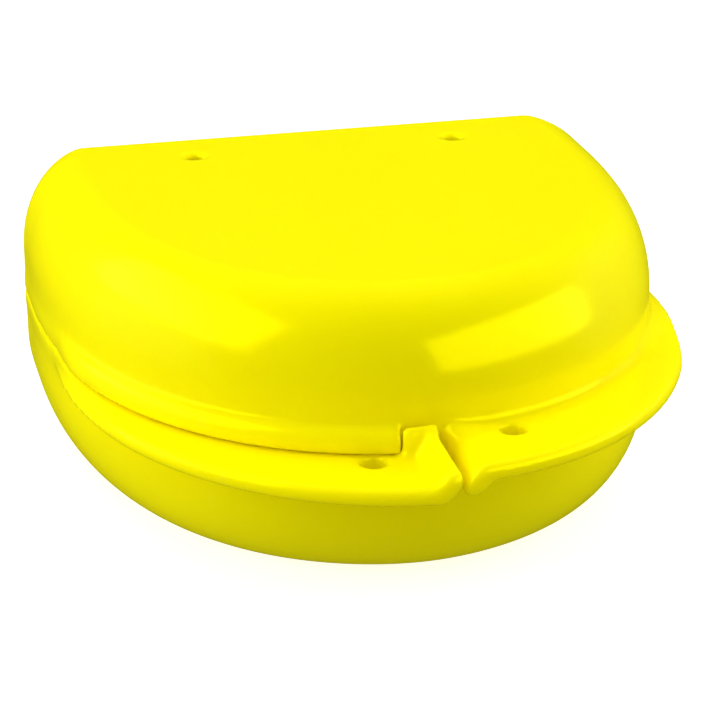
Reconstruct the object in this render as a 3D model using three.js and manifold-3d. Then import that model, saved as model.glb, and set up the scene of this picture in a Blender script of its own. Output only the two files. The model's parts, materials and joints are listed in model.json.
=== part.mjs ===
// Mouthguard in its hinged carrying case.
//
// The case is two identical mouldings. The lid is the base turned over about the
// front-to-back axis, so each half carries a flange on one side of the clasp, a bead on
// the other side, and at the back a pin between two ears and a hook for the other pin.
// A two-layer mouthguard lies in the base: a firm shell with a soft liner in its trough.
//
// Millimetres. +X right, +Y back, +Z up. The origin is under the middle of the closed case.
// The half is built in its own frame: parting plane at z = 0, body below it.

import * as THREE from 'three';
import { mergeVertices } from 'three/addons/utils/BufferGeometryUtils.js';
import Module from 'manifold-3d';

const wasm = await Module();
wasm.setup();

// ---------------------------------------------------------------- driving dimensions

const GAP = 0.3; // clearance between pieces that meet
const PART = GAP / 2; // each half stops this far from the parting plane
const WELD = 0.01; // edges shorter than this are closed up after the cuts
const OVERLAP = 0.1; // how far solids that are joined run into each other
const SINK = 0.05; // keeps the flange's top off the plane of the rim

// plan outline of the wall
const FRONT_Y = -36.1;
const BACK_Y = 35.6;
const SIDE_X = 40;
const SIDE_Y = 20; // where the front curve meets the straight side
const FRONT_PULL = 0.346; // Bezier handle lengths, as parts of the width and the length
const SIDE_PULL = 0.813;
const CORNER_R = 9; // back corners

// profile of a half
const HALF_HEIGHT = 18;
const WALL = 1.8;
const STRAIGHT = 6; // height of wall below the parting plane before the dome starts
const DOME_IN = 8.2; // how far the dome leans in at the front and sides
const DOME_IN_BACK = 4.5;
const DOME_STEPS = 7;
const WALL_STEPS = 15; // along the front curve of each side

// flange, on the left of the base
const FLANGE_A = 39.8; // half axes and centre of its elliptical edge
const FLANGE_B = 47.56;
const FLANGE_Y = 0.56;
const FLANGE_T = 2.3;
const FLANGE_FADE_Y = 8; // where the edge has run out into the wall
const FLANGE_BEVEL = 0.6;
const FLANGE_STEPS = 24;
const FLANGE_SPACING = 1; // closest that two points of its edge may lie
const FLANGE_HOLE = { x: -8.3, y: -37.7, r: 1.5 };

// curled end of the flange, beside the clasp gap
const CURL_IN = -0.45; // x of the flange's end
const CURL_OUT = -3.9; // x where the curl starts
const CURL_HIGH = 3.2; // height of its ridge at the wall
const CURL_LOW = 1.25; // height of its ridge at the front edge
const TAB_OUT = -4.5; // x of the far side of the snap tab
const TAB_T = 1.4;

// bead, on the right of the base, and the locating lip and rebate inside the rim
const BEAD_IN = 4.8; // x where the bead starts
const BEAD_H = 3.3;
const BEAD_OUT = 1.3;
const BEAD_END_Y = 8; // the bead has run out here
const BEAD_FADE = 16; // length over which it runs out
const LIP_END_Y = -8;
const LIP_H = 1.6;
const LIP_T = 0.9;
const LIP_IN = -WALL + 0.2; // its inner face, set back a little from the wall's
const LIP_ROOT = -1.2;

// vent holes
const VENTS_X = [-18.5, 17.1];
const VENT_Y = 24.1;
const VENT_R = 1.15;

// hinge
const HINGE_Y = BACK_Y + 3.2;
const PIN_R = 1.25;
const EAR_R = 2.4;
const HOOK_R = 2.75;
const HINGE_MID = 18; // distance of each hinge station from the middle
const EAR_SPAN = 12; // outside width over two ears
const EAR_T = 2;
const WEB_DROP = 6.2; // how far the web runs down the back wall
const SNAP_SLOT = 2; // mouth of the hook, narrower than the pin

// mouthguard
const ARCH_A = 22.5; // half axes of the middle line of its front curve
const ARCH_B = 20.5;
const ARCH_Y = -0.5;
const ARM = 19; // straight length behind the curve
const GUARD_W_BACK = 16.8;
const GUARD_W_FRONT = 13.2;
const LABIAL_FRONT = 21; // wall heights
const LABIAL_BACK = 12.5;
const LINGUAL_FRONT = 11;
const LINGUAL_BACK = 8;
const NOTCH_DEPTH = 4.5; // lip notch in the middle of the front wall
const NOTCH_WIDTH = 6;
const LABIAL_T = 2.5;
const LINGUAL_T = 2;
const BITE_T = 3;
const LINER_T = 1.4;

// place of the half's frame in the part's frame
const PARTING_Z = HALF_HEIGHT;
const SHIFT_Y = -(FLANGE_Y - FLANGE_B + HINGE_Y + HOOK_R) / 2;

// ---------------------------------------------------------------- solids

function toSolid(geometry) {
  const bare = geometry.clone();
  bare.deleteAttribute('normal');
  bare.deleteAttribute('uv');
  const merged = mergeVertices(bare, 1e-4);
  const mesh = new wasm.Mesh({
    numProp: 3,
    vertProperties: new Float32Array(merged.attributes.position.array),
    triVerts: new Uint32Array(merged.index.array),
  });
  return new wasm.Manifold(mesh);
}

function toGeometry(solid) {
  const mesh = solid.setTolerance(WELD).getMesh();
  const geometry = new THREE.BufferGeometry();
  geometry.setAttribute('position', new THREE.BufferAttribute(mesh.vertProperties, 3));
  geometry.setIndex(new THREE.BufferAttribute(mesh.triVerts, 1));
  geometry.computeVertexNormals();
  return geometry;
}

// A closed solid through a row of rings with equal point counts. The flat section gives
// the triangles of both end caps.
function skin(rings, section) {
  const count = section.length;
  const points = rings.flat();
  const index = [];
  for (let r = 0; r + 1 < rings.length; r += 1) {
    for (let i = 0; i < count; i += 1) {
      const a = r * count + i;
      const b = r * count + ((i + 1) % count);
      index.push(a, b, a + count, b, b + count, a + count);
    }
  }
  const last = (rings.length - 1) * count;
  for (const [a, b, c] of THREE.ShapeUtils.triangulateShape(section, [])) {
    index.push(a, c, b);
    index.push(last + a, last + b, last + c);
  }
  const geometry = new THREE.BufferGeometry().setFromPoints(points);
  geometry.setIndex(index);
  return toSolid(geometry);
}

// An outline in the YZ plane, extruded along X between two places.
function slab(shape, fromX, toX) {
  const geometry = new THREE.ExtrudeGeometry(shape, { depth: toX - fromX, bevelEnabled: false });
  const axes = new THREE.Matrix4().makeBasis(
    new THREE.Vector3(0, 1, 0),
    new THREE.Vector3(0, 0, 1),
    new THREE.Vector3(1, 0, 0),
  );
  geometry.applyMatrix4(axes);
  geometry.translate(fromX, 0, 0);
  return toSolid(geometry);
}

function uprightHole(x, y, radius, lowZ, highZ) {
  const geometry = new THREE.CylinderGeometry(radius, radius, highZ - lowZ, 20);
  geometry.rotateX(Math.PI / 2);
  geometry.translate(x, y, (lowZ + highZ) / 2);
  return toSolid(geometry);
}

const smoothstep = (t) => THREE.MathUtils.smoothstep(t, 0, 1);
const { lerp } = THREE.MathUtils;

// ---------------------------------------------------------------- wall outline

// Right half of the wall's plan, from the front centre to the back straight.
function rightOutline(frontSteps) {
  const path = new THREE.Path();
  path.moveTo(0, FRONT_Y);
  const pullY = SIDE_Y - SIDE_PULL * (SIDE_Y - FRONT_Y);
  path.bezierCurveTo(FRONT_PULL * SIDE_X, FRONT_Y, SIDE_X, pullY, SIDE_X, SIDE_Y);
  path.absarc(SIDE_X - CORNER_R, BACK_Y - CORNER_R, CORNER_R, 0, Math.PI / 2, false);
  const [front, side, corner] = path.curves;
  return [
    ...front.getPoints(frontSteps),
    ...side.getPoints(2).slice(1),
    ...corner.getPoints(7).slice(1),
  ];
}

// The whole outline, counter-clockwise from the front centre, each point with its normal.
function makeOutline(frontSteps) {
  const right = rightOutline(frontSteps);
  const left = right.slice(1).reverse().map((p) => new THREE.Vector2(-p.x, p.y));
  const loop = [...right, ...left];
  return loop.map((point, i) => {
    const before = loop[(i + loop.length - 1) % loop.length];
    const after = loop[(i + 1) % loop.length];
    const along = after.clone().sub(before).normalize();
    const normal = new THREE.Vector2(along.y, -along.x);
    return { point, normal };
  });
}

const OUTLINE = makeOutline(WALL_STEPS);
const RIM_OUTLINE = makeOutline(WALL_STEPS - 2); // so that no rim edge lies on a wall edge

// The outline moved in by one distance at the front and sides and another at the back, so
// that a round back corner stays an ellipse.
function insetRing(inset, insetBack, z) {
  return OUTLINE.map(({ point, normal }) => {
    const insetY = normal.y > 0 ? insetBack : inset;
    return new THREE.Vector3(point.x - inset * normal.x, point.y - insetY * normal.y, z);
  });
}

// ---------------------------------------------------------------- one half of the case

// Straight wall and dome, shrunk by a wall thickness for the cavity.
function bowl(thickness, topZ) {
  const rings = [];
  for (let i = DOME_STEPS; i >= 0; i -= 1) {
    const turn = (i / DOME_STEPS) * (Math.PI / 2);
    const lean = 1 - Math.cos(turn);
    const inset = thickness + (DOME_IN - thickness) * lean;
    const insetBack = thickness + (DOME_IN_BACK - thickness) * lean;
    const z = -STRAIGHT - (HALF_HEIGHT - thickness - STRAIGHT) * Math.sin(turn);
    rings.push(insetRing(inset, insetBack, z));
  }
  rings.push(insetRing(thickness, thickness, topZ));
  const section = rings[0].map((p) => new THREE.Vector2(p.x, p.y));
  return skin(rings, section);
}

// A band along the rim on one side (-1 left, 1 right), from startX round to the side.
// A section point is [distance out, more distance out where the bead is full, z].
function rimBand(side, startX, endY, section) {
  const right = RIM_OUTLINE.slice(0, RIM_OUTLINE.length / 2);
  const half = right.filter(({ point }) => point.y < endY);
  const start = new THREE.Vector2(startX, 0);
  const stations = half.filter(({ point }) => point.x > startX + 1);
  const next = half.findIndex(({ point }) => point.x > startX + 1);
  const mix = (startX - half[next - 1].point.x) / (half[next].point.x - half[next - 1].point.x);
  start.y = lerp(half[next - 1].point.y, half[next].point.y, mix);
  const all = [{ point: start, normal: stations[0].normal }, ...stations];
  const rings = all.map(({ point, normal }) => {
    const fade = smoothstep((BEAD_END_Y - point.y) / BEAD_FADE);
    return section.map(([out, fadingOut, z]) => {
      const moved = point.clone().addScaledVector(normal, out + fadingOut * fade);
      return new THREE.Vector3(side * moved.x, moved.y, z);
    });
  });
  const flat = section.map(([out, fadingOut, z]) => new THREE.Vector2(out + fadingOut, z));
  if (side > 0) rings.reverse();
  return skin(rings, flat);
}

function flange() {
  const shape = new THREE.Shape();
  const end = Math.acos(CURL_OUT / FLANGE_A);
  const inside = FRONT_Y + 6;
  shape.moveTo(CURL_OUT, inside);
  shape.lineTo(CURL_OUT - 20, 0);
  shape.lineTo(-SIDE_X + 4, FLANGE_FADE_Y + 5);
  shape.lineTo(-SIDE_X + 0.8, FLANGE_FADE_Y + 3);
  shape.quadraticCurveTo(-FLANGE_A, FLANGE_FADE_Y - 2, -FLANGE_A, FLANGE_Y);
  shape.absellipse(0, FLANGE_Y, FLANGE_A, FLANGE_B, Math.PI, 2 * Math.PI - end, false);
  const corners = [];
  for (const point of shape.getPoints(FLANGE_STEPS)) {
    if (!corners.length || point.distanceTo(corners.at(-1)) > FLANGE_SPACING) corners.push(point);
  }
  const geometry = new THREE.ExtrudeGeometry(new THREE.Shape(corners), {
    depth: FLANGE_T - 2 * FLANGE_BEVEL,
    bevelThickness: FLANGE_BEVEL,
    bevelSize: FLANGE_BEVEL,
    bevelOffset: -FLANGE_BEVEL,
    bevelSegments: 1,
  });
  geometry.translate(0, 0, FLANGE_BEVEL - PART - FLANGE_T - SINK);
  return toSolid(geometry);
}

// Everything below the parting plane.
function belowParting() {
  const size = 4 * SIDE_X;
  const geometry = new THREE.BoxGeometry(size, size, size);
  geometry.translate(0, 0, -PART - size / 2);
  return toSolid(geometry);
}

// The flange's end rises beside the clasp gap, high at the wall and low at the front.
function curl() {
  const wallY = FRONT_Y - GAP - OVERLAP;
  const frontY = FLANGE_Y - FLANGE_B * Math.sqrt(1 - (CURL_OUT / FLANGE_A) ** 2);
  const top = -PART;
  const under = top - FLANGE_T;
  const stations = [
    { y: frontY + 0.2, reach: 1.3, ridge: CURL_LOW - 0.5 },
    { y: frontY + 1.2, reach: 0.4, ridge: CURL_LOW },
    { y: frontY + 3, reach: 0, ridge: CURL_LOW + 0.5 },
    { y: wallY, reach: 0, ridge: CURL_HIGH },
  ];
  const profile = ({ reach, ridge }) => {
    const tip = CURL_IN - reach;
    const mid = lerp(CURL_OUT, tip, 0.55);
    return [
      new THREE.Vector2(CURL_OUT - 1, under + OVERLAP),
      new THREE.Vector2(CURL_OUT + 0.6, under + OVERLAP),
      new THREE.Vector2(mid, under + 0.8),
      new THREE.Vector2(tip, ridge - 1.2),
      new THREE.Vector2(tip, ridge),
      new THREE.Vector2(lerp(mid, tip, 0.6), ridge),
      new THREE.Vector2(mid, lerp(top, ridge, 0.55)),
      new THREE.Vector2(CURL_OUT, top - OVERLAP),
      new THREE.Vector2(CURL_OUT - 1, top - OVERLAP),
    ];
  };
  const rings = stations.map((s) => profile(s).map((p) => new THREE.Vector3(p.x, s.y, p.y)));
  return skin(rings.reverse(), profile(stations[3]));
}

// Upright tab in front of the other half's wall, which holds the case shut.
function snapTab() {
  const shape = new THREE.Shape();
  const outer = FRONT_Y - GAP - TAB_T;
  const inner = FRONT_Y - GAP - OVERLAP;
  const mid = (outer + inner) / 2;
  shape.moveTo(outer, -FLANGE_T);
  shape.lineTo(inner, -FLANGE_T);
  shape.lineTo(inner, CURL_HIGH - TAB_T / 2);
  shape.absarc(mid, CURL_HIGH - TAB_T / 2, (inner - outer) / 2, 0, Math.PI, false);
  return slab(shape, TAB_OUT, CURL_IN);
}

// The foot that joins the tab to the wall below the parting plane.
function tabFoot() {
  const shape = new THREE.Shape();
  shape.moveTo(FRONT_Y - GAP - TAB_T, -PART);
  shape.lineTo(FRONT_Y - GAP - TAB_T, -FLANGE_T);
  shape.lineTo(FRONT_Y + WALL / 2, -FLANGE_T - 2);
  shape.lineTo(FRONT_Y + WALL / 2, -PART);
  return slab(shape, TAB_OUT - 1.5, CURL_IN);
}

function knuckleWeb(fromX, toX) {
  const shape = new THREE.Shape();
  const wallY = BACK_Y - WALL / 2;
  const foot = EAR_R * Math.SQRT1_2;
  shape.moveTo(wallY, -PART - 0.2);
  shape.lineTo(wallY, -WEB_DROP);
  shape.lineTo(HINGE_Y + foot, -foot);
  shape.lineTo(HINGE_Y, 0);
  shape.lineTo(HINGE_Y - EAR_R, -PART - 0.2);
  return slab(shape, fromX, toX);
}

function roundAlongX(radius, fromX, toX) {
  const geometry = new THREE.CylinderGeometry(radius, radius, toX - fromX, 24);
  geometry.rotateZ(Math.PI / 2);
  geometry.translate((fromX + toX) / 2, HINGE_Y, 0);
  return toSolid(geometry);
}

// Two ears with a pin between them, on the left.
function earsAndPin() {
  const outer = -HINGE_MID - EAR_SPAN / 2;
  const inner = -HINGE_MID + EAR_SPAN / 2;
  const ears = [
    [outer, outer + EAR_T],
    [inner - EAR_T, inner],
  ];
  let solid = roundAlongX(PIN_R, outer + EAR_T / 2, inner - EAR_T / 2);
  for (const [from, to] of ears) {
    solid = solid.add(roundAlongX(EAR_R, from, to)).add(knuckleWeb(from, to));
  }
  return solid;
}

// The hook on the right, open upwards, which snaps over the other half's pin.
function hook() {
  const reach = EAR_SPAN / 2 - EAR_T - GAP;
  const from = HINGE_MID - reach;
  const to = HINGE_MID + reach;
  const slot = new THREE.BoxGeometry(2 * reach + 2, SNAP_SLOT, HOOK_R + 1);
  slot.translate(HINGE_MID, HINGE_Y, (HOOK_R + 1) / 2);
  return roundAlongX(HOOK_R, from, to)
    .add(knuckleWeb(from, to))
    .subtract(roundAlongX(PIN_R + GAP, from - 1, to + 1))
    .subtract(toSolid(slot));
}

function bead() {
  const root = -WALL / 3;
  return rimBand(1, BEAD_IN, BEAD_END_Y, [
    [root, 0, 1],
    [root, 0, -BEAD_H],
    [-OVERLAP, 0, -BEAD_H],
    [-OVERLAP, 0.75 * BEAD_OUT, -0.8 * BEAD_H],
    [-OVERLAP, BEAD_OUT + OVERLAP, -BEAD_H / 2],
    [-OVERLAP, BEAD_OUT, 1],
  ]);
}

function lip() {
  return rimBand(-1, BEAD_IN + 1.5, LIP_END_Y, [
    [LIP_IN, 0, LIP_H],
    [LIP_IN, 0, LIP_ROOT],
    [LIP_IN + LIP_T, 0, LIP_ROOT],
    [LIP_IN + LIP_T, 0, LIP_H],
  ]);
}

// The space inside the rim that the other half's lip stands in.
function rebate() {
  const out = LIP_IN + LIP_T + GAP;
  return rimBand(1, BEAD_IN + 1, LIP_END_Y + 1, [
    [-WALL - 1, 0, 1],
    [-WALL - 1, 0, -LIP_H - GAP],
    [out, 0, -LIP_H - GAP],
    [out, 0, 1],
  ]);
}

function caseHalf() {
  let solid = bowl(0, 1).add(bead()).intersect(belowParting()).add(flange());
  solid = solid.add(tabFoot()).add(curl()).subtract(bowl(WALL, 1));
  solid = solid.add(snapTab()).add(lip()).subtract(rebate());
  solid = solid.add(earsAndPin()).add(hook());
  solid = solid.subtract(
    uprightHole(FLANGE_HOLE.x, FLANGE_HOLE.y, FLANGE_HOLE.r, -FLANGE_T - 1, 1),
  );
  for (const x of VENTS_X) {
    const floor = -HALF_HEIGHT;
    solid = solid.subtract(uprightHole(x, VENT_Y, VENT_R, floor - 1, floor + WALL + 1));
  }
  return toGeometry(solid);
}

// ---------------------------------------------------------------- mouthguard

// Stations along the arch from the left arm's end to the right one: the middle line, its
// outward normal, and how far forward the station is (1 at the front centre).
function archStations() {
  const stations = [];
  const armSteps = 3;
  const curveSteps = 24;
  for (let i = 0; i < armSteps; i += 1) {
    const y = ARCH_Y + ARM * (1 - i / armSteps);
    stations.push({ x: -ARCH_A, y, nx: -1, ny: 0, front: 0, mid: -90 });
  }
  for (let i = 0; i <= curveSteps; i += 1) {
    const turn = (i / curveSteps - 0.5) * Math.PI;
    const normal = new THREE.Vector2(Math.sin(turn) / ARCH_A, -Math.cos(turn) / ARCH_B);
    normal.normalize();
    stations.push({
      x: ARCH_A * Math.sin(turn),
      y: ARCH_Y - ARCH_B * Math.cos(turn),
      nx: normal.x,
      ny: normal.y,
      front: Math.cos(turn),
      mid: ARCH_A * Math.sin(turn),
    });
  }
  for (let i = armSteps - 1; i >= 0; i -= 1) {
    const y = ARCH_Y + ARM * (1 - i / armSteps);
    stations.push({ x: ARCH_A, y, nx: 1, ny: 0, front: 0, mid: 90 });
  }
  return stations;
}

function guardSizes({ front, mid }) {
  const rise = smoothstep(front);
  const notch = NOTCH_DEPTH * Math.exp(-((mid / NOTCH_WIDTH) ** 2) * 2);
  return {
    half: lerp(GUARD_W_BACK, GUARD_W_FRONT, rise) / 2,
    labial: lerp(LABIAL_BACK, LABIAL_FRONT, rise) - notch,
    lingual: lerp(LINGUAL_BACK, LINGUAL_FRONT, rise),
  };
}

function shellSection(sizes) {
  const { half, labial, lingual } = sizes;
  return [
    [-half + 1.5, 0],
    [half - 2, 0],
    [half - 0.3, 1.6],
    [half, 5],
    [half - 0.5, labial - 1],
    [half - 1.2, labial],
    [half - LABIAL_T + 0.3, labial],
    [half - LABIAL_T, labial - 1],
    [half - LABIAL_T, BITE_T],
    [-half + LINGUAL_T, BITE_T],
    [-half + LINGUAL_T, lingual - 0.6],
    [-half + LINGUAL_T - 0.4, lingual],
    [-half + 0.6, lingual],
    [-half, 2],
  ];
}

function linerSection(sizes) {
  const { half, labial, lingual } = sizes;
  const out = half - LABIAL_T - GAP;
  const back = -half + LINGUAL_T + GAP;
  const floor = BITE_T + GAP;
  const highOut = labial - 1.4;
  const highIn = lingual - 1;
  return [
    [back, floor],
    [out, floor],
    [out, highOut],
    [out - LINER_T, highOut],
    [out - LINER_T, floor + LINER_T],
    [back + LINER_T, floor + LINER_T],
    [back + LINER_T, highIn],
    [back, highIn],
  ];
}

function archSolid(sectionOf) {
  const stations = archStations();
  const baseZ = WALL + GAP;
  const rings = stations.map((station) => {
    const { x, y, nx, ny } = station;
    return sectionOf(guardSizes(station)).map(
      ([out, z]) => new THREE.Vector3(x + nx * out, y + ny * out, baseZ + z),
    );
  });
  const flat = sectionOf(guardSizes(stations[0])).map(([out, z]) => new THREE.Vector2(out, z));
  return toGeometry(skin(rings.reverse(), flat));
}

// ---------------------------------------------------------------- assembly

function piece(name, geometry, colour, roughness) {
  const material = new THREE.MeshStandardMaterial({ color: colour, roughness, metalness: 0 });
  const mesh = new THREE.Mesh(geometry, material);
  mesh.name = name;
  return mesh;
}

const CASE_YELLOW = 0xf7e600;
const GUARD_YELLOW = 0xf2d21a;
const LINER_WHITE = 0xf1efe6;

const object = new THREE.Group();

const baseHalf = piece('base_half', caseHalf(), CASE_YELLOW, 0.25);
baseHalf.position.set(0, SHIFT_Y, PARTING_Z);

const lidHalf = piece('lid_half', caseHalf(), CASE_YELLOW, 0.25);
lidHalf.position.copy(baseHalf.position);
lidHalf.rotation.y = Math.PI;

const mouthguard = new THREE.Group();
mouthguard.position.y = SHIFT_Y;
mouthguard.add(piece('mouthguard_shell', archSolid(shellSection), GUARD_YELLOW, 0.45));
mouthguard.add(piece('mouthguard_liner', archSolid(linerSection), LINER_WHITE, 0.5));

object.add(baseHalf, lidHalf, mouthguard);

export default object;
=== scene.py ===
"""Mouthguard in its hinged case: two identical glossy mouldings and a two-layer guard.

The case is modelled as a distance field in the half's own frame (parting plane at z = 0,
body below it, millimetres), meshed once and used twice: as it is for the base, and turned
over about the front-to-back axis for the lid.
"""

import json
import math
import bmesh
import bpy
import numpy as np
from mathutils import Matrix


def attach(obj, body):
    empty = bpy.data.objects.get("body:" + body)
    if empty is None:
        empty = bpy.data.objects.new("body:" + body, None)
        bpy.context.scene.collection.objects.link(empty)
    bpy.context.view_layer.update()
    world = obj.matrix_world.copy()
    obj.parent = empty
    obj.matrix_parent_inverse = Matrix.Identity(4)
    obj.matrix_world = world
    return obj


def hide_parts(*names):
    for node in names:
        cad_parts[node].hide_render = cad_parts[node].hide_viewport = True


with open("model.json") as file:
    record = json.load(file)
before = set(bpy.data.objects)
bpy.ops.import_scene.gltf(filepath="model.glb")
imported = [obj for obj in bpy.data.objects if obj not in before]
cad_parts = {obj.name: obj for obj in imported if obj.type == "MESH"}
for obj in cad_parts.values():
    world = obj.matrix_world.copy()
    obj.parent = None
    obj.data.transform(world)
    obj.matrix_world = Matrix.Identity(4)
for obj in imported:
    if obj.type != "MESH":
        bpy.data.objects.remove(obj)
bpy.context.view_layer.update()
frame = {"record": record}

import openvdb as vdb
from mathutils import Vector

MM = 0.001

# ------------------------------------------------------------ places read from the frame

HINGE = next(j for j in frame["record"]["behaviour"]["joints"] if j["name"] == "lid_hinge")
HALF_HEIGHT = HINGE["pos_m"][2] / MM
HINGE_OUT = 3.2  # the hinge axis lies this far behind the back wall
BACK_Y = 35.6
HINGE_Y = BACK_Y + HINGE_OUT
SHIFT_Y = HINGE["pos_m"][1] / MM - HINGE_Y  # from the half's frame to the shared one

# ------------------------------------------------------------ the half's dimensions, mm

# grid of the field
VOXEL = 0.42
GRID_LOW = (-42.0, -49.0, -19.5)
GRID_HIGH = (42.0, 43.5, 4.8)
FAR = 30.0  # well past the half in any direction that matters
BOWL_BAND = 8.0  # voxels on each side of the bowl's surface that hold a distance
SURFACE_BAND = 3 * VOXEL  # distances are clipped to this before meshing

# plan of the wall: a curve from the front centre to the widest point, and a round back corner
FRONT_Y = -36.1
SIDE_X = 40.0
SIDE_Y = 20.0
FRONT_PULL = 0.346  # the curve's handles, as parts of its width and of its depth
SIDE_PULL = 0.813
CORNER_R = 9.0

# section of the wall and dome
WALL = 1.8
RIM_EDGE = 0.2
STRAIGHT = 6.0  # upright wall before the dome begins
DOME_IN = 8.2  # the flat of the dome begins this far in from the wall
DOME_IN_BACK = 4.5  # and this far in at the back
CAVITY_EDGE = 0.8

# flange: a quarter of an ellipse in plan, on the left of the clasp
FLANGE_A = 39.8
FLANGE_B = 47.56
FLANGE_Y = 0.56
FLANGE_T = 2.3
FLANGE_EDGE_R = 1.0
FLANGE_FADE_Y = 8.0  # about where its outline meets the side wall
FLANGE_HOLE = (-8.3, -37.7, 1.5)  # x, y and radius of the tether hole
FLANGE_FILLET = 1.4  # under the flange at the front
FLANGE_FILLET_SIDE = 2.6  # and where it runs out at the side
FLANGE_SLANT = 2.6  # the outer face leans in towards the rim where the flange runs out
FLANGE_EASE = (-23.0, -8.0)  # y over which the flange changes from its front form
FLANGE_RUNOUT = (-16.0, 4.0)  # y over which the fillet shrinks to nothing
FLANGE_END_X = (-0.85, -0.05)  # at the snap tab and at the front edge
FLANGE_CORNER_R = 0.9

# the flange's end beside the clasp gap: one face curls up, the other rolls off
CURL_START_X = -3.9
CURL_TOP_X = -1.2
CURL_WALL = 3.2  # rise from the wall out to the snap tab's face
CURL_FRONT = 1.5  # and at the front edge
CURL_FOOT = 0.6  # the curl rises over this distance in front of the wall
CURL_FOOT_GAP = 0.2  # and starts this far from it
ROLL_START_X = -2.9
ROLL_H = 2.2

# snap tab, which stands in front of the other half's wall
TAB_LEFT = -4.72
TAB_T = 1.4
TAB_GAP = 0.3
TAB_TOP = 3.4
TAB_ROUND = 0.68
TAB_BLEND = 1.3

# bead along the rim on the right
BEAD_IN = 4.8  # x where it begins
BEAD_H = 3.3
BEAD_R = 2.1
BEAD_OUT = 1.5  # how far it stands out from the wall
BEAD_SUNK = 0.8  # where it is thinner than this it sinks into the wall
BEAD_END_Y = 8.0
BEAD_FADE = 16.0  # it thins over this distance before its end
BEAD_REPEAT_Y = -20.0  # y where its repeat on the left begins
BEAD_REPEAT_EDGE = 4.0
BEAD_BLEND = 0.4
BEAD_EDGE = 0.3

# locating lip on the left of the rim, and the rebate for the other half's lip on the right
LIP_END_Y = -8.0
LIP_H = 1.5
LIP_FACES = (-1.6, -0.7)  # measured outwards from the wall's outer face
LIP_CLEAR = 0.35
LIP_EDGE = 0.3
LIP_BLEND = 0.5
LIP_ENDS = 0.8
LIP_START = 1.5  # in x, from where the other half's bead begins to where the lip does
REBATE_START = 1.0  # in x, from where this half's bead begins to where the rebate does
REBATE_OVER = 1.0  # in y, the rebate runs this far past the other half's lip
REBATE_EDGE = 0.4

# vent holes: x, y and radius
VENTS = ((-18.5, 24.1, 1.3), (17.1, 24.1, 1.3))
HOLE_EDGE = 0.4

# hinge: a pin between two ears on the left, and an open hook on the right
PIN_R = 1.25
PIN_CLEAR = 0.3
EAR_R = 2.4
HOOK_R = 2.75
HINGE_MID = 18.0  # the middle of the pin, and of the hook, from the middle of the case
EAR_SPAN = 12.0
EAR_T = 2.0
HOOK_REACH = 3.7
WEB_DROP = 6.2  # the webs of ears and hook reach this far down the back wall
SNAP_SLOT = 2.0  # the mouth of the hook
HINGE_BLEND = 0.9

# ------------------------------------------------------------ distance-field arithmetic


def smoothstep(t):
    t = np.clip(t, 0.0, 1.0)
    return t * t * (3.0 - 2.0 * t)


def join(a, b, k):
    """Union with a fillet about k wide."""
    h = np.maximum(k - np.abs(a - b), 0.0) / k
    return np.minimum(a, b) - h * h * k * 0.25


def common(a, b, k):
    """Intersection with a rounded edge about k wide."""
    return -join(-a, -b, k)


def cut(a, b, k):
    """a without b."""
    return common(a, -b, k)


def plate(flat, across, half, r):
    """A flat outline's distance made into a plate of half thickness half, edges rounded r."""
    u = flat + r
    v = np.abs(across) - half + r
    outside = np.hypot(np.maximum(u, 0.0), np.maximum(v, 0.0))
    return np.minimum(np.maximum(u, v), 0.0) + outside - r


def polygon_distance(corners, x, y):
    """Signed distance to a closed polygon, negative inside."""
    nearest = np.full(np.broadcast(x, y).shape, FAR * FAR, dtype=np.float32)
    inside = np.zeros(nearest.shape, dtype=bool)
    for (ax, ay), (bx, by) in zip(corners, np.roll(corners, -1, axis=0)):
        ex, ey = bx - ax, by - ay
        t = np.clip(((x - ax) * ex + (y - ay) * ey) / (ex * ex + ey * ey), 0.0, 1.0)
        gap = (x - ax - t * ex) ** 2 + (y - ay - t * ey) ** 2
        np.minimum(nearest, gap, out=nearest)
        if ay != by:
            crosses = (ay > y) != (by > y)
            inside ^= crosses & (x < ax + (y - ay) * ex / ey)
    return np.where(inside, -1.0, 1.0).astype(np.float32) * np.sqrt(nearest)


# ------------------------------------------------------------ the field's grid

LOW = np.floor(np.array(GRID_LOW) / VOXEL).astype(int)
HIGH = np.ceil(np.array(GRID_HIGH) / VOXEL).astype(int)
COUNT = HIGH - LOW + 1
X, Y, Z = (
    (np.arange(COUNT[i], dtype=np.float32) + LOW[i]) * np.float32(VOXEL) for i in range(3)
)
X = X[:, None, None]
Y = Y[None, :, None]
Z = Z[None, None, :]
XF = X[:, :, 0]
YF = Y[:, :, 0]


# ------------------------------------------------------------ the wall's outline


def bezier(p0, p1, p2, p3, steps):
    t = np.linspace(0.0, 1.0, steps)[:, None]
    s = 1.0 - t
    return s**3 * p0 + 3 * s * s * t * p1 + 3 * s * t * t * p2 + t**3 * p3


def right_outline(fineness):
    """Right half of the wall's plan, from the front centre to the back straight."""
    tip = np.array([0.0, FRONT_Y])
    widest = np.array([SIDE_X, SIDE_Y])
    tip_handle = np.array([FRONT_PULL * SIDE_X, FRONT_Y])
    side_handle = np.array([SIDE_X, SIDE_Y - SIDE_PULL * (SIDE_Y - FRONT_Y)])
    front = bezier(tip, tip_handle, side_handle, widest, 12 * fineness)
    corner = np.array([SIDE_X - CORNER_R, BACK_Y - CORNER_R])
    side = np.linspace(widest, corner + [CORNER_R, 0.0], fineness)[1:]
    turn = np.linspace(0.0, math.pi / 2, 4 * fineness)[1:, None]
    arc = corner + CORNER_R * np.hstack([np.cos(turn), np.sin(turn)])
    back = np.linspace(arc[-1], [0.0, BACK_Y], 6 * fineness)[1:]
    return np.vstack([front, side, arc, back])


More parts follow.
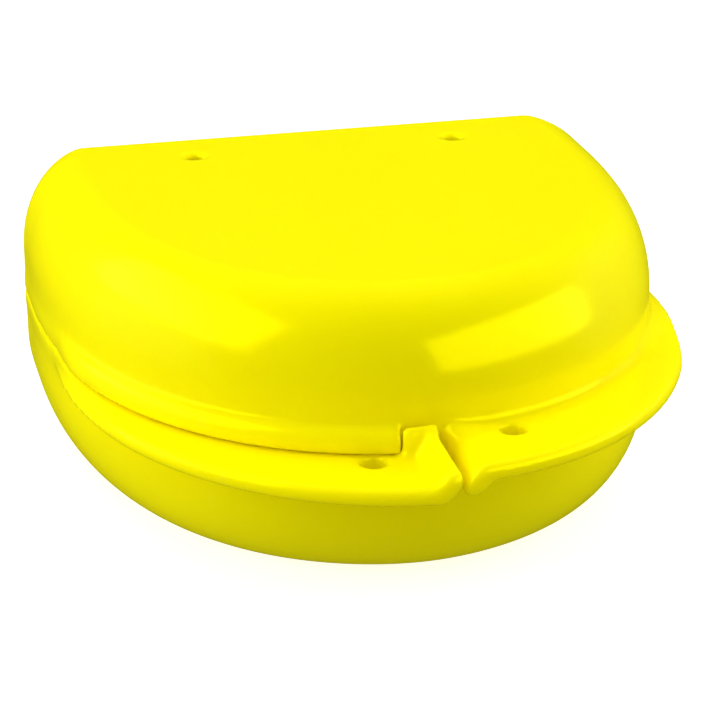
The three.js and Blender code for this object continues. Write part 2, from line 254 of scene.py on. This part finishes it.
def outline(fineness):
    """The whole outline, counter-clockwise from the front centre, and its normals."""
    right = right_outline(fineness)
    left = right[1:-1][::-1] * [-1.0, 1.0]
    loop = np.vstack([right, left])
    along = np.roll(loop, -1, axis=0) - np.roll(loop, 1, axis=0)
    along /= np.linalg.norm(along, axis=1, keepdims=True)
    return loop, np.column_stack([along[:, 1], -along[:, 0]])


# ------------------------------------------------------------ bowl of one half


def bowl(thickness):
    """Signed distance to the wall and dome, shrunk by a wall thickness for the cavity."""
    loop, normal = outline(20)
    dome_steps = 50
    rings = []
    for i in range(dome_steps, -1, -1):
        turn = i / dome_steps * math.pi / 2
        lean = 1.0 - math.cos(turn)
        inset = thickness + (DOME_IN - thickness) * lean
        inset_back = thickness + (DOME_IN_BACK - thickness) * lean
        inset_y = np.where(normal[:, 1] > 0.0, inset_back, inset)
        z = -STRAIGHT - (HALF_HEIGHT - thickness - STRAIGHT) * math.sin(turn)
        moved = loop - normal * np.column_stack([np.full(len(loop), inset), inset_y])
        rings.append(np.column_stack([moved, np.full(len(loop), z)]))
    rings.append(np.column_stack([rings[-1][:, :2], np.full(len(loop), FAR)]))
    n = len(loop)
    middle = [[0.0, 0.0, rings[0][0, 2]], [0.0, 0.0, FAR]]
    points = np.vstack(rings + [middle])
    i = np.arange(n)
    j = (i + 1) % n
    quads = np.vstack(
        [np.column_stack([i, j, j + n, i + n]) + r * n for r in range(len(rings) - 1)]
    )
    last = (len(rings) - 1) * n
    under = np.column_stack([j, i, np.full(n, len(points) - 2)])
    over = np.column_stack([i + last, j + last, np.full(n, len(points) - 1)])
    grid = vdb.FloatGrid.createLevelSetFromPolygons(
        points.astype(np.float32),
        triangles=np.vstack([under, over]).astype(np.uint32),
        quads=quads.astype(np.uint32),
        transform=vdb.createLinearTransform(VOXEL),
        halfWidth=BOWL_BAND,
    )
    field = np.empty(tuple(COUNT), dtype=np.float32)
    grid.copyToArray(field, ijk=tuple(int(v) for v in LOW))
    return field


# ------------------------------------------------------------ flange, clasp and rim


def flange_outline():
    """Plan of the flange, drawn past the clasp and into the cavity, where it is cut away."""
    past_middle = 4.0
    end = math.acos(past_middle / FLANGE_A)
    turn = np.linspace(2 * math.pi - end, math.pi, 240)[:, None]
    edge = [0.0, FLANGE_Y] + np.hstack([FLANGE_A * np.cos(turn), FLANGE_B * np.sin(turn)])
    t = np.linspace(0.0, 1.0, 24)[1:, None]
    side = np.array([-FLANGE_A, FLANGE_Y])
    pull = np.array([-FLANGE_A, FLANGE_FADE_Y - 2.0])
    faded = np.array([-SIDE_X + 0.8, FLANGE_FADE_Y + 3.0])
    fade = (1 - t) ** 2 * side + 2 * t * (1 - t) * pull + t * t * faded
    inside = [[-SIDE_X + 4.0, FLANGE_FADE_Y + 5.0], [-20.0, 0.0], [past_middle, -30.0]]
    return np.vstack([edge, fade, inside])


def curl_rise():
    """How far the flange's end is lifted, high at the wall and low at the front."""
    across = (XF - CURL_START_X) / (CURL_TOP_X - CURL_START_X)
    height = CURL_WALL + (CURL_FRONT - CURL_WALL) * forward()
    outside = smoothstep((FRONT_Y - CURL_FOOT_GAP - YF) / CURL_FOOT)
    return (height * smoothstep(across) * outside)[:, :, None]


def flange_ease():
    """0 where the flange has its front form, 1 where it runs out."""
    start, end = FLANGE_EASE
    return smoothstep((Y - start) / (end - start))


def forward():
    """0 at the snap tab's outer face, 1 at the flange's front edge."""
    wall = FRONT_Y - TAB_GAP - TAB_T
    return np.clip((wall - YF) / (wall - FLANGE_Y + FLANGE_B), 0.0, 1.0)


def end_roll():
    """How far the face away from the curl has risen towards the flange's end."""
    across = np.clip((XF - ROLL_START_X) / (FLANGE_END_X[1] - ROLL_START_X), 0.0, 1.0)
    return (ROLL_H * across * across)[:, :, None]


def flange(rise):
    """The flange as a plate, its distance corrected for the slope of the curl."""
    edge = polygon_distance(flange_outline(), XF, YF)
    end_x = FLANGE_END_X[0] + (FLANGE_END_X[1] - FLANGE_END_X[0]) * forward()
    edge = common(edge, XF - end_x, FLANGE_CORNER_R)[:, :, None]
    slant = np.clip(1.0 + Z / FLANGE_T, 0.0, 1.0)
    edge = edge + FLANGE_SLANT * flange_ease() * slant
    low = end_roll() - FLANGE_T
    slope = np.hypot(*np.gradient(rise[:, :, 0], VOXEL))[:, :, None]
    steep = np.sqrt(1.0 + slope**2)
    half = (rise - low) / 2
    return plate(edge, (Z - (rise + low) / 2) / steep, half / steep, FLANGE_EDGE_R / steep)


def box(low, high, r):
    middle = [(a + b) / 2 for a, b in zip(low, high)]
    half = [(b - a) / 2 - r for a, b in zip(low, high)]
    q = [np.abs(axis - m) - h for axis, m, h in zip((X, Y, Z), middle, half)]
    outside = np.sqrt(sum(np.maximum(v, 0.0) ** 2 for v in q))
    return outside + np.minimum(np.maximum(np.maximum(q[0], q[1]), q[2]), 0.0) - r


def snap_tab():
    outer = FRONT_Y - TAB_GAP - TAB_T
    low = (TAB_LEFT, outer, -FLANGE_T)
    high = (FLANGE_END_X[0], outer + TAB_T, TAB_TOP)
    return box(low, high, TAB_ROUND)


def bead(out):
    """Round band along the rim on the right, cut off at the parting plane.

    Its end is repeated on the left, where the flange runs out, so that the shut halves
    are flush there.
    """
    width = BEAD_OUT * smoothstep((BEAD_END_Y - YF) / BEAD_FADE)[:, :, None]
    squash = np.maximum(width, BEAD_SUNK) / BEAD_R
    sunk = np.maximum(BEAD_SUNK - width, 0.0)
    ring = np.hypot((out + sunk) / squash, Z + BEAD_H - BEAD_R) - BEAD_R
    band = common(ring * squash, Z, BEAD_EDGE)
    right = common(band, BEAD_IN - X, BEAD_BLEND)
    left = common(band, BEAD_REPEAT_Y - Y, BEAD_REPEAT_EDGE)
    return np.minimum(right, left)


def lip(out):
    inner, outer = LIP_FACES
    across = np.abs(out - (inner + outer) / 2) - (outer - inner) / 2
    band = plate(across, Z, LIP_H, LIP_EDGE)
    band = common(band, Y - LIP_END_Y, LIP_ENDS)
    return common(band, X + BEAD_IN + LIP_START, LIP_ENDS)


def rebate(out):
    band = np.maximum(out - LIP_FACES[1] - LIP_CLEAR, -(Z + LIP_H + LIP_CLEAR))
    band = common(band, Y - LIP_END_Y - REBATE_OVER, LIP_ENDS)
    return common(band, BEAD_IN + REBATE_START - X, LIP_ENDS)


def upright(hole):
    x, y, r = hole
    return np.hypot(X - x, Y - y) - r


# ------------------------------------------------------------ hinge


def knuckle(radius):
    """Profile of an ear or hook: a disc with a web down the back wall."""
    foot = EAR_R * math.sqrt(0.5)
    wall_y = BACK_Y - WALL / 2
    top = -RIM_EDGE
    corners = np.array(
        [
            [wall_y, top],
            [wall_y, -WEB_DROP],
            [HINGE_Y + foot, -foot],
            [HINGE_Y, 0.0],
            [HINGE_Y - EAR_R, top],
        ]
    )
    y, z = Y[0, :, :], Z[0, :, :]
    web = polygon_distance(corners, y, z)
    disc = np.hypot(y - HINGE_Y, z) - radius
    blend = 0.8
    return join(web, disc, blend)[None, :, :]


def along_x(profile, low, high, r=0.35):
    """A profile in y and z drawn out from low to high, edges rounded r."""
    return plate(profile, X - (low + high) / 2, (high - low) / 2, r)


def hinge_parts():
    axis = np.hypot(Y - HINGE_Y, Z)
    ear = knuckle(EAR_R)
    outer = -HINGE_MID - EAR_SPAN / 2
    inner = -HINGE_MID + EAR_SPAN / 2
    parts = along_x(ear, outer, outer + EAR_T)
    parts = np.minimum(parts, along_x(ear, inner - EAR_T, inner))
    pin_in_ear = 0.6
    pin = along_x(axis - PIN_R, outer + pin_in_ear, inner - pin_in_ear)
    parts = join(parts, pin, 0.6)
    hook = along_x(knuckle(HOOK_R), HINGE_MID - HOOK_REACH, HINGE_MID + HOOK_REACH)
    hook = cut(hook, axis - PIN_R - PIN_CLEAR, 0.3)
    slot = np.maximum(np.abs(Y - HINGE_Y) - SNAP_SLOT / 2, -Z)
    hook = cut(hook, slot, 0.6)
    return np.minimum(parts, hook)


# ------------------------------------------------------------ one half, as a mesh


def flange_fillet():
    """Width of the fillet between flange and wall, which shrinks to the rim's edge."""
    start, end = FLANGE_RUNOUT
    fillet = FLANGE_FILLET + (FLANGE_FILLET_SIDE - FLANGE_FILLET) * flange_ease()
    return fillet + (RIM_EDGE - fillet) * smoothstep((Y - start) / (end - start))


def half_field():
    """Signed distance to one whole half, negative in the plastic."""
    loop, _ = outline(8)
    out = polygon_distance(loop, XF, YF)[:, :, None]
    rise = curl_rise()
    body = join(bowl(0.0), bead(out), BEAD_BLEND)
    body = join(body, flange(rise), flange_fillet())
    body = common(body, Z - rise, RIM_EDGE)
    body = cut(body, bowl(WALL), CAVITY_EDGE)
    body = join(body, snap_tab(), TAB_BLEND)
    body = join(body, lip(out), LIP_BLEND)
    body = cut(body, rebate(out), REBATE_EDGE)
    body = join(body, hinge_parts(), HINGE_BLEND)
    body = cut(body, upright(FLANGE_HOLE), HOLE_EDGE)
    for vent in VENTS:
        body = cut(body, np.maximum(upright(vent), Z + HALF_HEIGHT / 2), HOLE_EDGE)
    return body


def half_mesh():
    grid = vdb.FloatGrid()
    grid.background = SURFACE_BAND
    field = np.clip(half_field(), -SURFACE_BAND, SURFACE_BAND).astype(np.float32)
    grid.copyFromArray(field, ijk=tuple(int(v) for v in LOW))
    grid.transform = vdb.createLinearTransform(VOXEL)
    return grid.convertToQuads(isovalue=0.0)


def mesh_object(name, points, faces):
    mesh = bpy.data.meshes.new(name)
    mesh.vertices.add(len(points))
    mesh.vertices.foreach_set("co", points.astype(np.float32).ravel())
    mesh.loops.add(faces.size)
    mesh.loops.foreach_set("vertex_index", faces.astype(np.int32).ravel())
    mesh.polygons.add(len(faces))
    starts = np.arange(0, faces.size, faces.shape[1], dtype=np.int32)
    mesh.polygons.foreach_set("loop_start", starts)
    mesh.update(calc_edges=True)
    mesh.polygons.foreach_set("use_smooth", np.ones(len(faces), dtype=bool))
    mesh.validate()
    obj = bpy.data.objects.new(name, mesh)
    bpy.context.scene.collection.objects.link(obj)
    return obj


def place_case():
    """The half as the base, and turned over about the front-to-back axis as the lid."""
    points, faces = half_mesh()
    base_at = np.array([0.0, SHIFT_Y, HALF_HEIGHT])
    base = mesh_object("case_base_shell", (points + base_at) * MM, faces)
    turned = points * [-1.0, 1.0, -1.0]
    lid = mesh_object("case_lid_shell", (turned + base_at) * MM, faces)
    return base, lid


# ------------------------------------------------------------ mouthguard

# the arch that the middle of the guard follows: half an ellipse and two straight arms
ARCH_A = 22.5
ARCH_B = 20.5
ARCH_Y = -0.5
ARM = 19.0
ARM_STEPS = 25
CURVE_STEPS = 110

# the guard's section: its width, and the heights of its walls
GUARD_W_BACK = 16.8
GUARD_W_FRONT = 13.2
LABIAL_FRONT = 21.0  # the outer wall, on the lips' side
LABIAL_BACK = 12.5
LINGUAL_FRONT = 11.0  # the inner wall, on the tongue's side
LINGUAL_BACK = 8.0
NOTCH_DEPTH = 4.5  # for the lip's frenum, in the middle of the outer wall
NOTCH_WIDTH = 6.0
LABIAL_T = 2.5
LINGUAL_T = 2.0
BITE_T = 3.0
LINER_T = 1.4
GUARD_GAP = 0.3  # between shell and liner, and between shell and case
GUARD_Z = WALL + GUARD_GAP
GRIP_PITCH = 3.6  # spacing of the cross ribs under the back teeth
GRIP_DEPTH = 0.45
GRIP_FADE = 2.5  # how fast the ribs fade from the arms into the front


def arch_stations():
    """Points from the left arm's end to the right one, their normals, and 0 (arms) to 1 (front)."""
    arm = np.linspace(ARM, 0.0, ARM_STEPS + 1)[:-1]
    turn = np.linspace(-math.pi / 2, math.pi / 2, CURVE_STEPS)
    curve = np.column_stack([ARCH_A * np.sin(turn), ARCH_Y - ARCH_B * np.cos(turn)])
    normal = np.column_stack([np.sin(turn) / ARCH_A, -np.cos(turn) / ARCH_B])
    normal /= np.linalg.norm(normal, axis=1, keepdims=True)
    left = np.column_stack([np.full(ARM_STEPS, -ARCH_A), ARCH_Y + arm])
    points = np.vstack([left, curve, left[::-1] * [-1.0, 1.0]])
    side = np.tile([-1.0, 0.0], (ARM_STEPS, 1))
    normals = np.vstack([side, normal, -side])
    front = np.concatenate([np.zeros(ARM_STEPS), np.cos(turn), np.zeros(ARM_STEPS)])
    return points, normals, front


def guard_sizes(points, front):
    """Half width, outer wall's height and inner wall's height at each station."""
    rise = smoothstep(front)
    near_middle = np.exp(-2.0 * (points[:, 0] / NOTCH_WIDTH) ** 2) * (points[:, 1] < 0)
    half = (GUARD_W_BACK + (GUARD_W_FRONT - GUARD_W_BACK) * rise) / 2
    labial = LABIAL_BACK + (LABIAL_FRONT - LABIAL_BACK) * rise - NOTCH_DEPTH * near_middle
    lingual = LINGUAL_BACK + (LINGUAL_FRONT - LINGUAL_BACK) * rise
    return half, labial, lingual


def round_section(corners, radius, per_corner=5):
    """A polygon's corners replaced by short quadratic curves."""
    corners = np.array(corners, dtype=float)
    out = []
    for i, corner in enumerate(corners):
        before = corners[i - 1] - corner
        after = corners[(i + 1) % len(corners)] - corner
        reach_b = min(radius, np.linalg.norm(before) * 0.48)
        reach_a = min(radius, np.linalg.norm(after) * 0.48)
        start = corner + before / np.linalg.norm(before) * reach_b
        end = corner + after / np.linalg.norm(after) * reach_a
        for t in np.linspace(0.0, 1.0, per_corner):
            out.append((1 - t) ** 2 * start + 2 * t * (1 - t) * corner + t * t * end)
    return np.array(out)


def shell_section(half, labial, lingual, rib):
    """The trough, outwards and up, with its underside lifted by rib."""
    inner = half - LABIAL_T
    tongue = -half + LINGUAL_T
    corners = [
        (-half + 0.4, rib),
        (half - 0.6, rib),
        (half, 5.0),
        (half - 0.3, labial - 1.0),
        (half - 1.3, labial),
        (inner, labial - 0.6),
        (inner, BITE_T),
        (tongue, BITE_T),
        (tongue, lingual - 0.5),
        (tongue - 0.8, lingual),
        (-half, lingual - 1.0),
    ]
    return round_section(corners, 1.2)


def liner_section(half, labial, lingual, _):
    """A thinner trough that lines the shell's."""
    out = half - LABIAL_T - GUARD_GAP
    back = -half + LINGUAL_T + GUARD_GAP
    floor = BITE_T + GUARD_GAP
    corners = [
        (back, floor),
        (out, floor),
        (out, labial - 1.4),
        (out - LINER_T, labial - 1.4),
        (out - LINER_T, floor + LINER_T),
        (back + LINER_T, floor + LINER_T),
        (back + LINER_T, lingual - 1.0),
        (back, lingual - 1.0),
    ]
    return round_section(corners, 0.65)


def arch_object(name, section_of):
    """A section swept round the arch, with its ends closed flat."""
    points, normals, front = arch_stations()
    half, labial, lingual = guard_sizes(points, front)
    length = np.concatenate([[0.0], np.cumsum(np.linalg.norm(np.diff(points, axis=0), axis=1))])
    on_arm = np.clip(1.0 - front * GRIP_FADE, 0.0, 1.0)
    ribs = GRIP_DEPTH * on_arm * (0.5 - 0.5 * np.cos(2 * math.pi * length / GRIP_PITCH))
    rings = []
    for i, (p, n) in enumerate(zip(points, normals)):
        section = section_of(half[i], labial[i], lingual[i], ribs[i])
        flat = p + n * section[:, :1]
        rings.append(np.column_stack([flat, section[:, 1] + GUARD_Z]))
    count = len(rings[0])
    verts = np.vstack(rings) + [0.0, SHIFT_Y, 0.0]
    i = np.arange(count)
    j = (i + 1) % count
    faces = [
        np.column_stack([i, i + count, j + count, j]) + r * count for r in range(len(rings) - 1)
    ]
    mesh = bpy.data.meshes.new(name)
    ends = [tuple(i), tuple((i + (len(rings) - 1) * count)[::-1])]
    mesh.from_pydata((verts * MM).tolist(), [], np.vstack(faces).tolist() + ends)
    work = bmesh.new()
    work.from_mesh(mesh)
    bmesh.ops.triangulate(work, faces=[f for f in work.faces if len(f.verts) > 4])
    bmesh.ops.recalc_face_normals(work, faces=work.faces)
    for face in work.faces:
        face.smooth = True
    work.to_mesh(mesh)
    work.free()
    obj = bpy.data.objects.new(name, mesh)
    bpy.context.scene.collection.objects.link(obj)
    return obj


# ------------------------------------------------------------ materials

WHITE = (1.0, 1.0, 1.0)


class Shader:
    """A node tree built step by step."""

    def __init__(self, name):
        self.material = bpy.data.materials.new(name)
        self.material.use_nodes = True
        self.tree = self.material.node_tree
        self.main = self.tree.nodes["Principled BSDF"]
        place = self.node("ShaderNodeTexCoord")
        self.place = place.outputs["Object"]

    def node(self, kind, **settings):
        node = self.tree.nodes.new(kind)
        for key, value in settings.items():
            setattr(node, key, value)
        return node

    def link(self, a, b):
        self.tree.links.new(a, b)

    def noise(self, scale, detail=3.0, stretch=None):
        """Noise in [0, 1] with a feature size of 1/scale metres."""
        node = self.node("ShaderNodeTexNoise")
        node.inputs["Scale"].default_value = scale
        node.inputs["Detail"].default_value = detail
        source = self.place
        if stretch:
            mapping = self.node("ShaderNodeMapping")
            mapping.inputs["Scale"].default_value = stretch
            self.link(source, mapping.inputs["Vector"])
            source = mapping.outputs["Vector"]
        self.link(source, node.inputs["Vector"])
        return node.outputs["Fac"]

    def remap(self, value, low, high, to_low, to_high):
        """value taken from the range low to high to the range to_low to to_high, and clamped."""
        node = self.node("ShaderNodeMapRange")
        self.link(value, node.inputs["Value"])
        ends = {"From Min": low, "From Max": high, "To Min": to_low, "To Max": to_high}
        for key, number in ends.items():
            node.inputs[key].default_value = number
        return node.outputs["Result"]

    def mix(self, factor, a, b):
        node = self.node("ShaderNodeMix", data_type="RGBA")
        self.link(factor, node.inputs["Factor"])
        for socket, colour in ((node.inputs[6], a), (node.inputs[7], b)):
            if isinstance(colour, tuple):
                socket.default_value = (*colour, 1.0)
            else:
                self.link(colour, socket)
        return node.outputs[2]

    def add(self, a, b):
        node = self.node("ShaderNodeMath", operation="ADD")
        self.link(a, node.inputs[0])
        self.link(b, node.inputs[1])
        return node.outputs[0]

    def bump(self, *layers):
        """Layers of (height, strength, distance in metres), from coarse to fine."""
        normal = None
        for height, strength, distance in layers:
            node = self.node("ShaderNodeBump")
            node.inputs["Strength"].default_value = strength
            node.inputs["Distance"].default_value = distance
            self.link(height, node.inputs["Height"])
            if normal:
                self.link(normal, node.inputs["Normal"])
            normal = node.outputs["Normal"]
        self.link(normal, self.main.inputs["Normal"])

    def set(self, **values):
        for key, value in values.items():
            self.main.inputs[key.replace("_", " ")].default_value = value


def case_plastic():
    """Glossy polypropylene: saturated yellow with faint flow marks, fine scuffs and worn edges."""
    s = Shader("case_plastic")
    cloud = s.noise(45.0, 2.0)
    flow = s.noise(30.0, 4.0, stretch=(1.0, 0.35, 1.6))
    colour = s.mix(s.remap(cloud, 0.3, 0.7, 0.0, 1.0), (0.965, 0.82, 0.0), (0.985, 0.84, 0.0))
    edge = s.node("ShaderNodeNewGeometry").outputs["Pointiness"]
    worn = s.remap(edge, 0.52, 0.60, 0.0, 0.35)
    colour = s.mix(worn, colour, (0.99, 0.86, 0.01))
    s.link(colour, s.main.inputs["Base Color"])
    scuff_a = s.remap(s.noise(2200.0, 2.0, stretch=(0.05, 1.0, 1.0)), 0.62, 0.80, 0.0, 0.05)
    scuff_b = s.remap(s.noise(2000.0, 2.0, stretch=(1.0, 0.06, 1.0)), 0.63, 0.80, 0.0, 0.05)
    rough = s.add(s.remap(flow, 0.25, 0.75, 0.15, 0.19), s.add(scuff_a, scuff_b))
    s.link(rough, s.main.inputs["Roughness"])
    s.bump(
        (flow, 0.05, 0.0004),
        (s.noise(1500.0, 2.0), 0.02, 0.00004),
        (s.add(scuff_a, scuff_b), 0.06, 0.00002),
    )
    s.set(
        IOR=1.49,
        Specular_Tint=(1.0, 0.95, 0.05, 1.0),
        Subsurface_Weight=0.55,
        Subsurface_Radius=(1.0, 0.85, 0.05),
        Subsurface_Scale=0.003,
    )
    return s.material


def guard_firm():
    """Satin thermoplastic with the faint grain of a moulding tool."""
    s = Shader("guard_firm")
    cloud = s.noise(60.0, 3.0)
    colour = s.mix(s.remap(cloud, 0.3, 0.7, 0.0, 1.0), (0.88, 0.62, 0.02), (0.93, 0.70, 0.03))
    s.link(colour, s.main.inputs["Base Color"])
    s.link(s.remap(cloud, 0.2, 0.8, 0.38, 0.5), s.main.inputs["Roughness"])
    s.bump((cloud, 0.1, 0.0004), (s.noise(1500.0, 2.0), 0.15, 0.0001))
    s.set(
        IOR=1.48,
        Subsurface_Weight=0.2,
        Subsurface_Radius=(1.0, 0.7, 0.1),
        Subsurface_Scale=0.002,
    )
    return s.material


def guard_soft():
    """Milky soft thermoplastic, slightly uneven as after a first fitting."""
    s = Shader("guard_soft")
    cloud = s.noise(110.0, 3.0)
    colour = s.mix(s.remap(cloud, 0.3, 0.7, 0.0, 1.0), (0.78, 0.77, 0.70), (0.86, 0.85, 0.80))
    s.link(colour, s.main.inputs["Base Color"])
    s.link(s.remap(cloud, 0.2, 0.8, 0.32, 0.46), s.main.inputs["Roughness"])
    s.bump((cloud, 0.2, 0.0008), (s.noise(900.0, 2.0), 0.12, 0.0002))
    s.set(
        IOR=1.46,
        Subsurface_Weight=0.45,
        Subsurface_Radius=(1.0, 0.9, 0.7),
        Subsurface_Scale=0.003,
    )
    return s.material


def light_table():
    """Matt grey sweep that glows, so that it shows white and shadows on it stay faint."""
    s = Shader("light_table")
    grain = s.noise(500.0, 4.0)
    s.link(s.mix(grain, (0.52, 0.52, 0.52), (0.55, 0.55, 0.55)), s.main.inputs["Base Color"])
    s.bump((grain, 0.05, 0.0002))
    s.set(Roughness=0.9, Emission_Color=(*WHITE, 1.0), Emission_Strength=0.75)
    return s.material


# ------------------------------------------------------------ studio


ROOM_ABOVE = 0.78  # strength of the room's light from above the horizon
ROOM_BELOW = 0.56  # and from below it
HORIZON = 0.1  # half the height of the band over which one turns into the other
PANEL_AT = 0.7  # distance of the panels from the case
PANEL_GLOSS = 10.0  # W, the two panels that only the gloss shows
PANEL_FILL = 4.4  # W, the two side panels that only light the colour
TOP_FILL = 2.1  # W, the same overhead
FILL_SIZE = (0.7, 0.6)
GEL = (1.0, 0.95, 0.05)  # yellow light in the reflections keeps the plastic's colour deep
ROOM_IN_GLOSS = 0.25  # strength of the room in reflections

# name, azimuth, elevation and size
GLOSS_PANELS = (
    ("gloss_left", -95.0, 30.0, (0.98, 0.48)),
    ("gloss_right", 50.0, 17.0, (1.05, 0.44)),
)
# name, azimuth, elevation and power
FILL_PANELS = (
    ("fill_left", -105.0, 8.0, PANEL_FILL),
    ("fill_right", 105.0, 8.0, PANEL_FILL),
    ("fill_top", 180.0, 80.0, TOP_FILL),
)


def sweep():
    """A floor that curves up into a backdrop. Reflections and bounced light don't see it."""
    half_width = 3.0
    front = -2.0
    turn_y = 2.2
    radius = 1.2
    arc = np.linspace(0.0, math.pi / 2, 25)
    profile = [(front, 0.0)] + [
        (turn_y + radius * math.sin(a), radius * (1.0 - math.cos(a))) for a in arc
    ]
    profile.append((turn_y + radius, 4.0))
    verts = [(side * half_width, y, z) for y, z in profile for side in (-1.0, 1.0)]
    faces = [(2 * i, 2 * i + 1, 2 * i + 3, 2 * i + 2) for i in range(len(profile) - 1)]
    mesh = bpy.data.meshes.new("sweep")
    mesh.from_pydata(verts, [], faces)
    for face in mesh.polygons:
        face.use_smooth = True
    obj = bpy.data.objects.new("sweep", mesh)
    bpy.context.scene.collection.objects.link(obj)
    obj.data.materials.append(light_table())
    obj.visible_glossy = False
    obj.visible_diffuse = False


def softbox(name, place, target, size, power, colour=WHITE):
    light = bpy.data.lights.new(name, "AREA")
    light.shape = "RECTANGLE"
    light.size, light.size_y = size
    light.energy = power
    light.color = colour
    obj = bpy.data.objects.new(name, light)
    obj.location = place
    obj.rotation_euler = (Vector(target) - Vector(place)).to_track_quat("-Z", "Y").to_euler()
    bpy.context.scene.collection.objects.link(obj)
    return obj


def toward(azimuth, elevation, distance):
    """A place seen from the case at an azimuth from the front and an elevation, in degrees."""
    azimuth, elevation = math.radians(azimuth), math.radians(elevation)
    flat = distance * math.cos(elevation)
    height = distance * math.sin(elevation) + HALF_HEIGHT * MM
    return flat * math.sin(azimuth), -flat * math.cos(azimuth), height


def room_light():
    """White room for the colour, dim and yellow for the gloss."""
    world = bpy.data.worlds.new("studio")
    bpy.context.scene.world = world
    world.use_nodes = True
    tree = world.node_tree
    place = tree.nodes.new("ShaderNodeTexCoord")
    parts = tree.nodes.new("ShaderNodeSeparateXYZ")
    tree.links.new(place.outputs["Generated"], parts.inputs["Vector"])
    height = tree.nodes.new("ShaderNodeMapRange")
    height.inputs["From Min"].default_value = -HORIZON
    height.inputs["From Max"].default_value = HORIZON
    height.inputs["To Min"].default_value = ROOM_BELOW
    height.inputs["To Max"].default_value = ROOM_ABOVE
    tree.links.new(parts.outputs["Z"], height.inputs["Value"])
    room = tree.nodes["Background"]
    room.inputs["Color"].default_value = (*WHITE, 1.0)
    tree.links.new(height.outputs["Result"], room.inputs["Strength"])
    reflected = tree.nodes.new("ShaderNodeBackground")
    reflected.inputs["Color"].default_value = (*GEL, 1.0)
    reflected.inputs["Strength"].default_value = ROOM_IN_GLOSS
    path = tree.nodes.new("ShaderNodeLightPath")
    either = tree.nodes.new("ShaderNodeMixShader")
    tree.links.new(path.outputs["Is Glossy Ray"], either.inputs["Fac"])
    tree.links.new(room.outputs["Background"], either.inputs[1])
    tree.links.new(reflected.outputs["Background"], either.inputs[2])
    tree.links.new(either.outputs["Shader"], tree.nodes["World Output"].inputs["Surface"])


def studio():
    """The sweep, panels that only reflect, panels that only light, and the room."""
    sweep()
    centre = (0.0, 0.0, HALF_HEIGHT * MM)
    for name, azimuth, elevation, size in GLOSS_PANELS:
        place = toward(azimuth, elevation, PANEL_AT)
        gloss = softbox(name, place, centre, size, PANEL_GLOSS, GEL)
        gloss.visible_diffuse = False
    for name, azimuth, elevation, power in FILL_PANELS:
        place = toward(azimuth, elevation, PANEL_AT)
        fill = softbox(name, place, centre, FILL_SIZE, power)
        fill.visible_glossy = False
    room_light()
    bpy.context.scene.view_settings.view_transform = "Standard"


# ------------------------------------------------------------ camera

AZIMUTH = math.radians(-14.143)
ELEVATION = math.radians(21.829)
DISTANCE = 0.3231  # m, from the middle of the case
LENS = 127.58  # mm, on a sensor 36 mm wide
SHIFT = (-0.0184, -0.0274)


def camera():
    data = bpy.data.cameras.new("camera")
    data.lens = LENS
    data.sensor_width = 36.0
    data.shift_x, data.shift_y = SHIFT
    data.clip_start = 0.01
    obj = bpy.data.objects.new("camera", data)
    target = Vector((0.0, SHIFT_Y * MM, HALF_HEIGHT * MM))
    flat = math.cos(ELEVATION)
    away = Vector((math.sin(AZIMUTH) * flat, -math.cos(AZIMUTH) * flat, math.sin(ELEVATION)))
    obj.location = target + away * DISTANCE
    obj.rotation_euler = away.to_track_quat("Z", "Y").to_euler()
    bpy.context.scene.collection.objects.link(obj)
    bpy.context.scene.camera = obj


# ------------------------------------------------------------ assembly


def finish_piece(obj, body, node, material):
    """Gives a piece its material, puts it under its body and hides the CAD node that it stands for.
    """
    obj.data.materials.append(material)
    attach(obj, body)
    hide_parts(node)


def build():
    plastic = case_plastic()
    base, lid = place_case()
    finish_piece(base, "case_base", "base_half", plastic)
    finish_piece(lid, "lid", "lid_half", plastic)
    shell = arch_object("guard_shell", shell_section)
    finish_piece(shell, "mouthguard", "mouthguard_shell", guard_firm())
    liner = arch_object("guard_liner", liner_section)
    finish_piece(liner, "mouthguard", "mouthguard_liner", guard_soft())


build()
studio()
camera()
